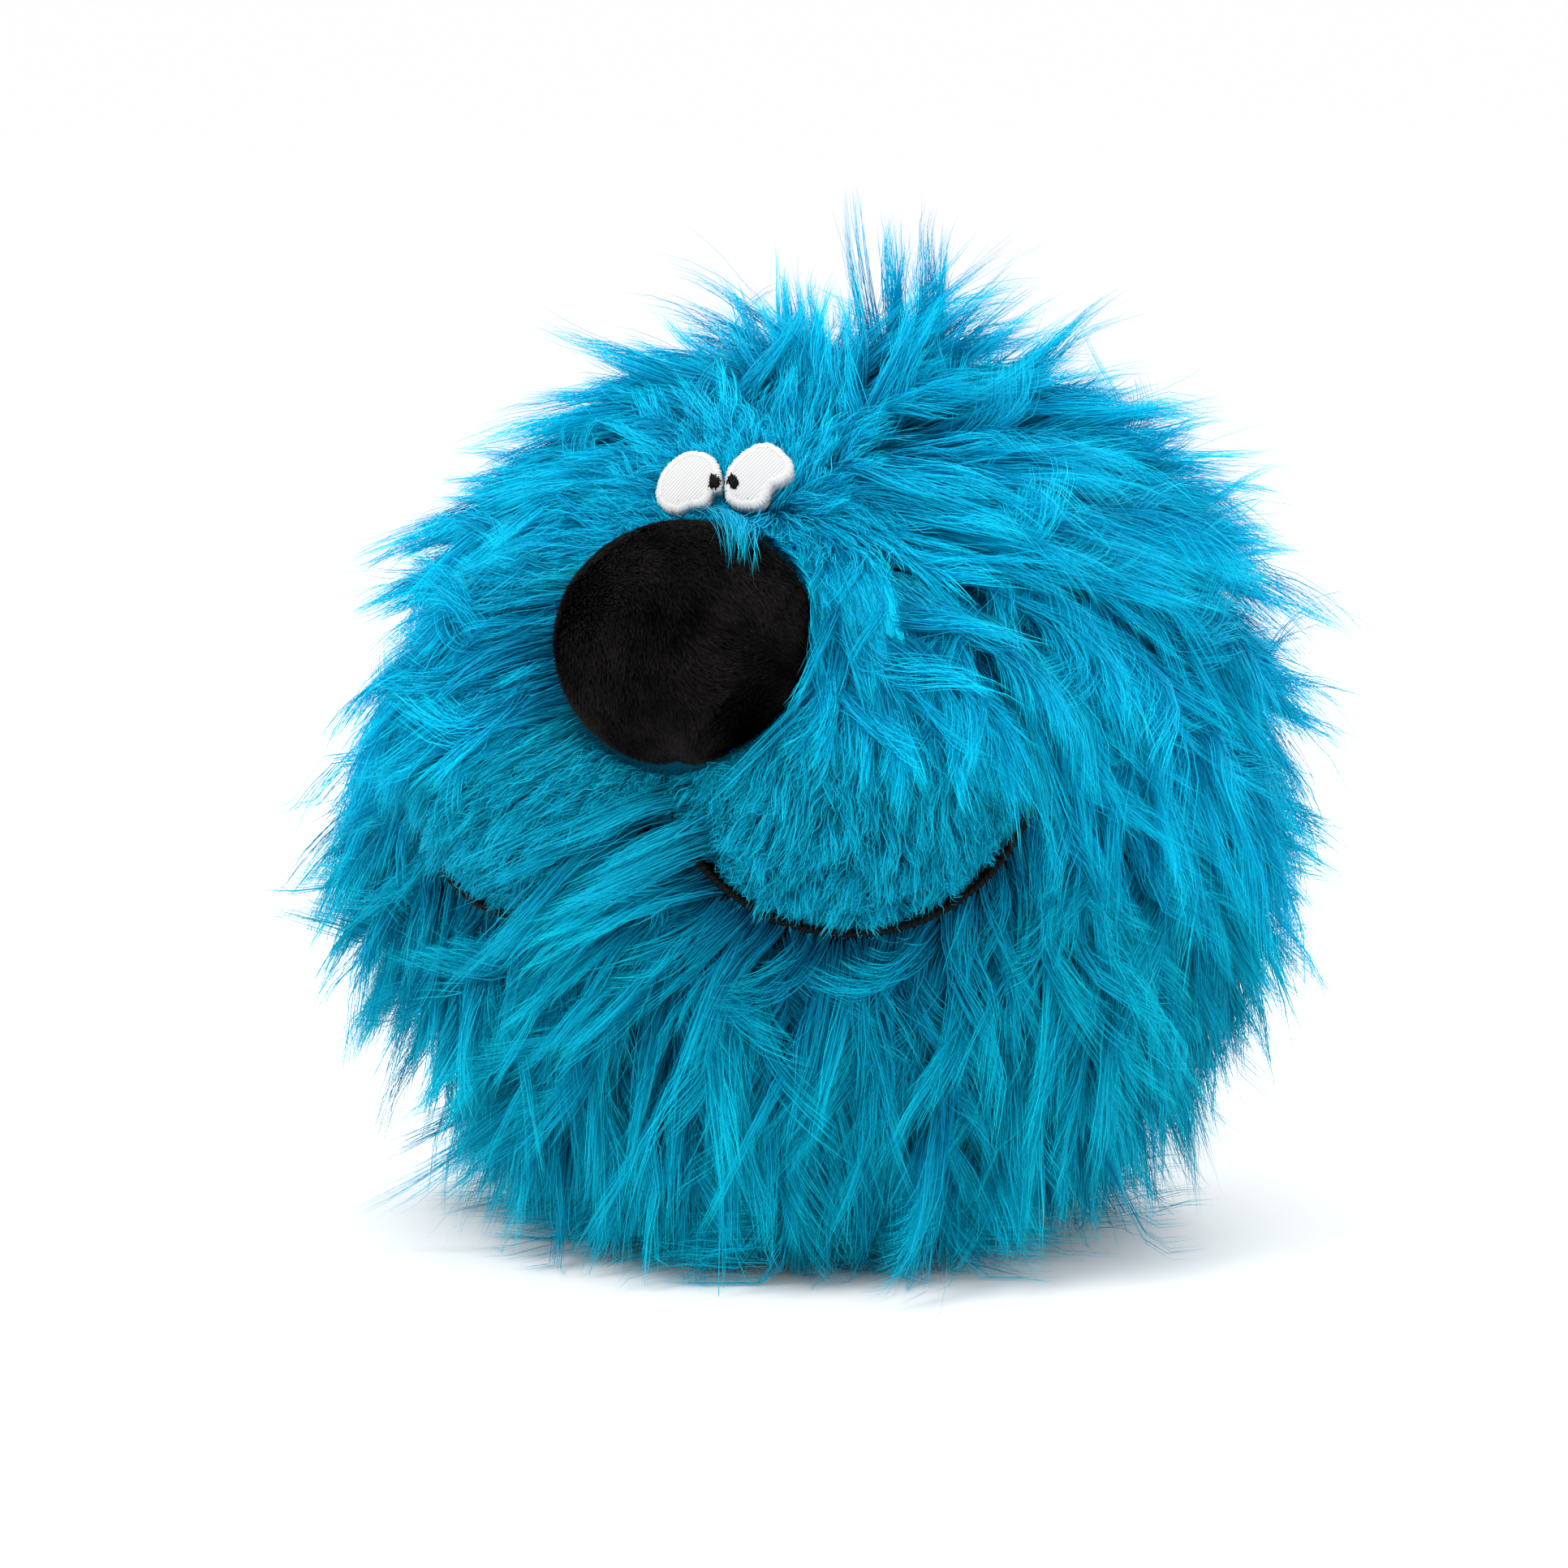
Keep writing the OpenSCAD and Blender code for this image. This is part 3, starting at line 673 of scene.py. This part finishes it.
# ---------------------------------------------------------------- long pile of the chin
coated = coat(long_jaw, 300, tufts=2300, guides=10500, strands=330000)
lay(coated, (
    ("fur_chin_left", coated[0][:, 0] > 0, "fur_chin_left"),
    ("fur_chin_right", coated[0][:, 0] <= 0, "fur_chin_right"),
), LOWER_SHADED, on_chin, 12)


# ---------------------------------------------------------------- short pile round the eyes and on the muzzle
def short_coat(name, roots, normals, lie, length, lift, width, material, seed, tone_and_painted_light, pieces):
    """Short straight strands of so many pieces each, which stand on a piece of the head."""
    r = np.random.default_rng(seed)
    n = len(roots)
    lift = np.clip(lift + r.normal(size=n) * 0.07, 0.05, 0.9)
    d = unit(normals * lift[:, None] + lie * np.sqrt(1 - lift ** 2)[:, None] + r.normal(size=(n, 3)) * 0.09)
    length = length * r.uniform(0.75, 1.15, n)
    k = np.linspace(0, 1, pieces + 1)
    sag = np.array([0, 0, -1.0])
    p = roots[:, None] + d[:, None] * (length[:, None] * k[None])[..., None]
    p = p + (sag * 0.16 * length[:, None])[:, None] * (k ** 2)[None, :, None]
    curl = r.normal(size=(n, 1, 3)) * (0.09 * length)[:, None, None]
    p = p + curl * np.sin(k * 3.2)[None, :, None]
    shade = 0.5 + tone_and_painted_light + 0.16 * r.normal(size=n)
    width = width / math.sqrt(QUICK) * r.uniform(0.7, 1.2, n)
    o = strand_mesh(name, p, width, shade, material, seed + 1, turn=0.7)
    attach(o, "head")


# dense trimmed pile between the long locks of the brow
def near_eyes(u):
    return in_panel(u) & ~in_nose(u) & ~in_eyes(u) & (angle_to(u, EYES_MID) < 26) & (u[:, 2] > 0.05)


coated = coat(near_eyes, 500, tufts=4600, guides=26000, strands=420000)
lay(coated, (("fur_forehead", np.full(len(coated[0]), True), "fur_forehead"),), FUR, on_head, 14)

# a small tuft that falls over the top of the nose
def nose_tuft(n, seed):
    """Curves that lie on the nose, along one path given in the nose's own axes."""
    r = np.random.default_rng(seed)
    ahead, across = direction(20.5, 7.0), direction(110.5, 0.0)
    axes = np.stack([across, np.cross(ahead, across), ahead])
    path = np.array([(9, 29, -14), (12, 31.5, 2), (13.5, 27, 16), (14, 17, 25)], float)
    k = np.linspace(0, 1, M + 1)[None]
    t = r.uniform(0.55, 1.0, (n, 1)) * k * 3
    v = np.stack([np.interp(t, range(4), path[:, i]) for i in range(3)], -1)
    v = v + (r.normal(size=(n, 1, 3)) * (3.6 * (1 - k) + 1.3)[..., None])
    v = v + r.normal(size=(n, 1, 3)) * 2.0 * (k ** 2)[..., None]
    high = NOSE_R + 0.0010 + (0.0022 * r.uniform(0.2, 1.0, (n, 1)) + 0 * k)
    return NOSE + unit(v @ axes) * high[..., None]


n = int(190 * QUICK)
r = np.random.default_rng(611)
width = r.uniform(0.00012, 0.00022, n) / math.sqrt(QUICK)
o = strand_mesh("nose_tuft", nose_tuft(n, 610), width, 0.62 + 0.2 * r.normal(size=n), FUR, 612)
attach(o, "head")

# muzzle pads: a skin, the stuffing under it and its pile
coated = coat(on_pads, 700, tufts=3000, guides=16000, strands=440000)
left, trimmed = coated[0][:, 0] > 0, comb(coated[0])[2] < 0.022
lay(coated, (
    ("fur_muzzle_left", left & trimmed, None),
    ("fur_muzzle_right", ~left & trimmed, None),
), SHORT, on_head, 15)
lay(coated, (
    ("fur_muzzle_left_long", left & ~trimmed, None),
    ("fur_muzzle_right_long", ~left & ~trimmed, None),
), FUR, on_head, 16)

for side, tag in ((1, "left"), (-1, "right")):
    mid = LOBE_DIR * [side, 1, 1]
    e1 = unit(np.cross(mid, np.array([0.0, 0.0, 1.0])))
    e2 = np.cross(e1, mid)
    rings, cols = 40, 96
    verts = [CENTRE + mid * skin_at(mid[None])[0]]
    for i in range(1, rings + 1):
        theta = math.radians(min((RING + 0.6) * i / (rings - 2), RING + 0.9))
        a = 2 * math.pi * np.arange(cols) / cols
        v = mid * math.cos(theta) + (e1 * np.cos(a)[:, None] + e2 * np.sin(a)[:, None]) * math.sin(theta)
        rho = skin_at(v) - (0.022 if i == rings else 0.007 if i == rings - 1 else 0.0)
        verts.extend(CENTRE + v * rho[:, None])
    faces = [(0, 1 + j, 1 + (j + 1) % cols) for j in range(cols)]
    for i in range(rings - 1):
        for j in range(cols):
            a0, b0 = 1 + i * cols, 1 + (i + 1) * cols
            faces.append((a0 + j, b0 + j, b0 + (j + 1) % cols, a0 + (j + 1) % cols))
    pad = mesh_object(f"muzzle_pad_{tag}", verts, faces, BACKING)
    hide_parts(f"muzzle_{tag}")
    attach(pad, "head")
    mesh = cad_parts[f"muzzle_fill_{tag}"].data.copy()
    p = np.empty(len(mesh.vertices) * 3)
    mesh.vertices.foreach_get("co", p)
    o = p.reshape(-1, 3) - CENTRE
    far = np.linalg.norm(o, axis=1)
    v = o / far[:, None]
    off = np.radians(np.minimum(angle_to(v, mid), RING - 0.8))[:, None]
    v = mid * np.cos(off) + unit(v - (v @ mid)[:, None] * mid) * np.sin(off)
    deep = 0.0015 + 0.024 * smooth(ring_angle(v), RING - 4.0, RING - 0.6)
    p = CENTRE + v * np.minimum(far, skin_at(v) - deep)[:, None]
    mesh.vertices.foreach_set("co", p.ravel())
    mesh.materials.clear()
    mesh.materials.append(FILL)
    fill = bpy.data.objects.new(f"muzzle_stuffing_{tag}", mesh)
    bpy.context.scene.collection.objects.link(fill)
    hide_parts(f"muzzle_fill_{tag}")
    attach(fill, "head")


# ---------------------------------------------------------------- nose
def nose_point(v, size=1.0):
    """A slightly squashed ball with a soft tuck underneath."""
    tuck = np.exp(-(v[:, 0] / 0.10) ** 2) * smooth(-v[:, 2], 0.45, 0.95)
    r = NOSE_R * (1 - 0.075 * v[:, 2] ** 2 - 0.05 * tuck)
    r = r * (1 + 0.012 * wobble(v, 77, 5.0))
    return NOSE + v * (r * size)[:, None]


rows, cols = 60, 96
grid = []
for i in range(rows + 1):
    for j in range(cols):
        e, a = math.pi * (i / rows - 0.5), 2 * math.pi * j / cols
        grid.append((math.cos(e) * math.sin(a), -math.sin(e), math.cos(e) * math.cos(a)))
grid = np.array(grid)
faces = [(i * cols + j, i * cols + (j + 1) % cols, (i + 1) * cols + (j + 1) % cols, (i + 1) * cols + j)
         for i in range(rows) for j in range(cols)]
nose = mesh_object("nose", nose_point(grid), faces, NOSE_SKIN)
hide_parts("nose_cover")
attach(nose, "head")
fill = mesh_object("nose_stuffing", nose_point(grid, 0.95), faces, FILL)
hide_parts("nose_fill")
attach(fill, "head")


def nose_front(v):
    return np.linalg.norm(nose_point(v) - CENTRE, axis=1) > SKIN - 0.002


v = scatter(int(110000 * QUICK), nose_front, 70)
roots = nose_point(v)
stray = np.stack([wobble(v, 71, 6.0), 0 * v[:, 0], wobble(v, 72, 6.0)], -1)
lie = unit(np.array([0.5, 0.0, -0.8]) + 0.9 * stray)
lie = unit(lie - (lie * v).sum(1, keepdims=True) * v)
# The tone's light and dark patches are painted sheen of the brushed plush.
short_coat("nose_pile", roots, v, lie, np.full(len(v), 0.0025), np.full(len(v), 0.50), 0.00026, FUZZ, 73,
           0.32 * wobble(v, 74, 9.0) + 0.16 * wobble(v, 75, 24.0), pieces=2)


# ---------------------------------------------------------------- eyes
def on_eye(x, y, high):
    """A point on the softly domed eye cloth, x and y in millimetres from the point between the eyes."""
    x, y = eye_xy(np.asarray(x, float), np.asarray(y, float))
    drop = (x * x * 0.9 + y * y) / (2 * 62.0)
    p = EYE_AT + (eye_right * x[..., None] + eye_up * y[..., None]) / 1000
    return p + eye_normal * ((high - drop) / 1000)[..., None]


def even_outline(points, n):
    """The closed outline through the points, rounded and evenly spaced."""
    p = np.array(points, float)
    t = np.linspace(0, len(p), n * 4, endpoint=False)
    i = np.floor(t).astype(int)
    f = (t - i)[:, None]
    a, b, c, d = (p[(i + k) % len(p)] for k in (-1, 0, 1, 2))
    q = 0.5 * (2 * b + (c - a) * f + (2 * a - 5 * b + 4 * c - d) * f ** 2 + (3 * b - 3 * c + d - a) * f ** 3)
    step = np.linalg.norm(np.roll(q, -1, 0) - q, axis=1)
    s = np.concatenate([[0], np.cumsum(step)])
    want = np.linspace(0, s[-1], n, endpoint=False)
    q = np.concatenate([q, q[:1]])
    return np.stack([np.interp(want, s, q[:, 0]), np.interp(want, s, q[:, 1])], -1)


def inward(outline):
    """Unit vectors that point into a closed outline, one for each of its points."""
    t = np.roll(outline, -1, 0) - np.roll(outline, 1, 0)
    t = t / np.linalg.norm(t, axis=1, keepdims=True)
    n = np.stack([-t[:, 1], t[:, 0]], -1)
    area = np.sum(outline[:, 0] * np.roll(outline[:, 1], -1) - np.roll(outline[:, 0], -1) * outline[:, 1])
    return n if area > 0 else -n


def twill_material():
    m = principled("white_twill", (0.57, 0.57, 0.575), 0.8, 0.05)
    nodes, links = m.node_tree.nodes, m.node_tree.links
    p = nodes["Principled BSDF"]
    at = nodes.new("ShaderNodeTexCoord")
    turn = nodes.new("ShaderNodeMapping")
    turn.inputs["Rotation"].default_value = (0, math.radians(-38), 0)
    w = nodes.new("ShaderNodeTexWave")
    w.wave_type, w.bands_direction = "BANDS", "X"
    w.inputs["Scale"].default_value = 390.0
    w.inputs["Distortion"].default_value = 0.6
    bump = nodes.new("ShaderNodeBump")
    bump.inputs["Strength"].default_value = 0.55
    bump.inputs["Distance"].default_value = 0.00025
    links.new(at.outputs["Object"], turn.inputs["Vector"])
    links.new(turn.outputs["Vector"], w.inputs["Vector"])
    links.new(w.outputs["Fac"], bump.inputs["Height"])
    links.new(bump.outputs["Normal"], p.inputs["Normal"])
    # The twill's grooves are painted darker than its ridges, along the same waves as its bump: painted shade
    # of the weave.
    twill_groove_shade = [(0.0, (0.45, 0.455, 0.46)), (0.45, (0.58, 0.58, 0.585)), (1.0, (0.62, 0.62, 0.62))]
    ramp = ramp_nodes(nodes, twill_groove_shade)
    links.new(w.outputs["Fac"], ramp.inputs["Fac"])
    links.new(ramp.outputs["Color"], p.inputs["Base Color"])
    return m


TWILL = twill_material()


def eye_cloth(name, outline, node):
    """A thin puffed disc of twill; gives back its outline for the border."""
    n, rings = 120, 14
    line = even_outline(outline, n)
    mid = line.mean(0)
    verts, faces = [], []
    for i in range(rings):
        f = 1 - i / rings
        ring = mid + (line - mid) * f
        puff = 0.9 * (1 - f ** 14)
        verts.append(on_eye(ring[:, 0], ring[:, 1], np.full(n, 1.2 + puff)))
    verts.append(on_eye(mid[:1], mid[1:], np.array([2.1])))
    low_ring = on_eye(line[:, 0], line[:, 1], np.full(n, -3.0))
    top = np.concatenate(verts)
    for i in range(rings - 1):
        for j in range(n):
            k = (j + 1) % n
            faces.append((i * n + j, i * n + k, (i + 1) * n + k, (i + 1) * n + j))
    for j in range(n):
        faces.append(((rings - 1) * n + j, (rings - 1) * n + (j + 1) % n, rings * n))
    base_at = len(top)
    for j in range(n):
        faces.append((base_at + j, base_at + (j + 1) % n, (j + 1) % n, j))
    faces.append(tuple(base_at + j for j in range(n))[::-1])
    o = mesh_object(name, np.concatenate([top, low_ring]), faces, TWILL)
    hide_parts(node)
    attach(o, "head")
    return line


def bars(name, starts, ends, radius, material, lift_dir, bulge, sides=6, rings=5):
    """Round stitches: one short bowed bar from each start to its end."""
    verts, faces = [], []
    n = len(starts)
    t = np.linspace(0, 1, rings)
    d = unit(ends - starts)
    a = unit(np.cross(d, lift_dir) + 1e-7)
    b = np.cross(a, d)
    for i in range(n):
        at = len(verts)
        for k in range(rings):
            c = starts[i] + (ends[i] - starts[i]) * t[k] + lift_dir[i] * bulge * math.sin(math.pi * t[k])
            rr = radius[i] * (0.35 + 0.65 * math.sin(math.pi * (0.12 + 0.76 * t[k])))
            for s in range(sides):
                q = 2 * math.pi * s / sides
                verts.append(c + (a[i] * math.cos(q) + b[i] * math.sin(q)) * rr)
        for k in range(rings - 1):
            for s in range(sides):
                e = (s + 1) % sides
                one, two = at + k * sides, at + (k + 1) * sides
                faces.append((one + s, one + e, two + e, two + s))
        faces.append(tuple(at + s for s in range(sides))[::-1])
        faces.append(tuple(at + (rings - 1) * sides + s for s in range(sides)))
    return mesh_object(name, verts, faces, material)


def eye_border(name, line, node, seed):
    r = np.random.default_rng(seed)
    p = even_outline([tuple(q) for q in line[::3]], 230)
    inn = inward(p)
    a = p - inn * (0.35 + 0.22 * r.normal(size=(len(p), 1)) * 0.6)
    b = p + inn * (1.75 + 0.2 * r.normal(size=(len(p), 1)))
    starts = on_eye(a[:, 0], a[:, 1], np.full(len(p), 1.2))
    ends = on_eye(b[:, 0], b[:, 1], np.full(len(p), 2.0))
    radius = r.uniform(0.00019, 0.00026, len(p))
    o = bars(name, starts, ends, radius, SATIN, np.tile(eye_normal, (len(p), 1)), 0.00030)
    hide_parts(node)
    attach(o, "head")


def pupil(name, x, y, node, seed):
    r = np.random.default_rng(seed)
    n = 46
    a = r.uniform(0, 2 * math.pi, n)
    reach = r.uniform(1.1, 2.1, n)
    cx, cy = x + r.normal(size=n) * 0.35, y + r.normal(size=n) * 0.45
    starts = on_eye(cx - np.cos(a) * reach * 0.8, cy - np.sin(a) * reach, np.full(n, 2.15))
    ends = on_eye(cx + np.cos(a) * reach * 0.8, cy + np.sin(a) * reach, np.full(n, 2.15))
    o = bars(name, starts, ends, r.uniform(0.00022, 0.00032, n), THREAD, np.tile(eye_normal, (n, 1)), 0.0005)
    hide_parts(node)
    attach(o, "head")


line = eye_cloth("eye_right", EYE_LEFT_SEEN, "eye_right")
eye_border("eye_border_right", line, "eye_border_right", 81)
line = eye_cloth("eye_left", EYE_RIGHT_SEEN, "eye_left")
eye_border("eye_border_left", line, "eye_border_left", 82)
pupil("pupil_right", -2.9, -0.2, "pupil_right", 83)
pupil("pupil_left", 2.4, 0.0, "pupil_left", 84)


# ---------------------------------------------------------------- stitched lip line
for side, tag in ((1, "left"), (-1, "right")):
    ball = SKIN + 0.0055
    n0 = LOBE_DIR * [side, 1, 1]
    down = unit(np.array([0, 0, -1.0]) - (np.array([0, 0, -1.0]) @ n0) * n0)
    across = np.cross(n0, down)
    if across[0] * side < 0:
        across = -across
    ring = ball * math.sin(math.radians(RING + 0.7))
    plane = ball * math.cos(math.radians(RING + 0.7))
    count = 80
    a = np.radians(np.linspace(-64, 92, count + 1))

    def at(angle, grown):
        spoke = down * np.cos(angle)[:, None] + across * np.sin(angle)[:, None]
        return CENTRE + n0 * plane + spoke * (ring + grown)

    r = np.random.default_rng(90 + side)
    mids = (a[:-1] + a[1:]) / 2
    step = a[1] - a[0]
    starts = at(mids - step * 0.75, 0.0010)
    ends = at(mids + step * 0.75, -0.0008)
    out = unit((starts + ends) / 2 - CENTRE)
    radius = r.uniform(0.00085, 0.0011, count)
    o = bars(f"lip_cord_{tag}", starts + out * 0.0012, ends + out * 0.0012, radius, THREAD, out, 0.0006, 8, 5)
    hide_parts(f"lip_cord_{tag}")
    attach(o, "head")


# ---------------------------------------------------------------- finish of the pieces shown as designed
finish = {
    "crown_stuffing": BACKING, "brow_stuffing_left": BACKING, "brow_stuffing_right": BACKING,
    "head_stuffing_left": BACKING, "head_stuffing_right": BACKING, "jaw_stuffing": BACKING,
    "upper_mouth_lining": VELVET, "lower_mouth_lining": VELVET, "throat_lining": VELVET, "hinge_tape": VELVET,
    "finger_plate": BOARD, "jaw_plate": BOARD, "finger_pocket": CLOTH, "thumb_pocket": CLOTH,
    "hand_sleeve": CLOTH, "opening_binding": TAPE,
}
for node, material in finish.items():
    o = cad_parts[node]
    o.data.materials.clear()
    o.data.materials.append(material)


# ---------------------------------------------------------------- floor, lights, camera
world = bpy.data.worlds.new("studio")
bpy.context.scene.world = world
world.use_nodes = True
world.node_tree.nodes["Background"].inputs["Color"].default_value = (1, 1, 1, 1)
world.node_tree.nodes["Background"].inputs["Strength"].default_value = 1.07
floor_mat = principled("floor", (0.93, 0.93, 0.93), 0.95, 0.0)
corners = [(-300, -300, 0), (300, -300, 0), (300, 300, 0), (-300, 300, 0)]
floor = mesh_object("floor", corners, [(0, 1, 2, 3)], floor_mat, False)


def area_light(name, at, look, size, power):
    data = bpy.data.lights.new(name, "AREA")
    data.shape, data.size, data.size_y = "RECTANGLE", size[0], size[1]
    data.energy = power
    o = bpy.data.objects.new(name, data)
    o.location = at
    o.rotation_euler = (Vector(look) - Vector(at)).to_track_quat("-Z", "Y").to_euler()
    bpy.context.scene.collection.objects.link(o)


area_light("key", (-0.6, -1.0, 1.7), (0, 0, 0.13), (0.8, 0.8), 22)
area_light("fill", (1.4, -0.9, 0.9), (0, 0, 0.13), (1.0, 1.0), 5)
area_light("rim", (0.4, 1.2, 1.6), (0, 0, 0.15), (0.9, 0.7), 14)

azimuth, elevation, distance = math.radians(20.5), math.radians(7), 1.8
SEEN_WIDTH = 0.4337  # of the picture, at the object
back = Vector((math.cos(elevation) * math.sin(azimuth), -math.cos(elevation) * math.cos(azimuth),
               math.sin(elevation)))
right = Vector((math.cos(azimuth), math.sin(azimuth), 0))
up = right.cross(-back).normalized()
target = Vector((0, 0, 0.126)) - right * 0.0099 - up * 0.0036
camera = bpy.data.objects.new("camera", bpy.data.cameras.new("camera"))
camera.location = target + back * distance
camera.rotation_euler = (-back).to_track_quat("-Z", "Y").to_euler()
camera.data.sensor_width = 36
camera.data.lens = camera.data.sensor_width * distance / SEEN_WIDTH
camera.data.clip_end = 1000
bpy.context.scene.collection.objects.link(camera)
bpy.context.scene.camera = camera
bpy.context.scene.view_settings.view_transform = "Standard"
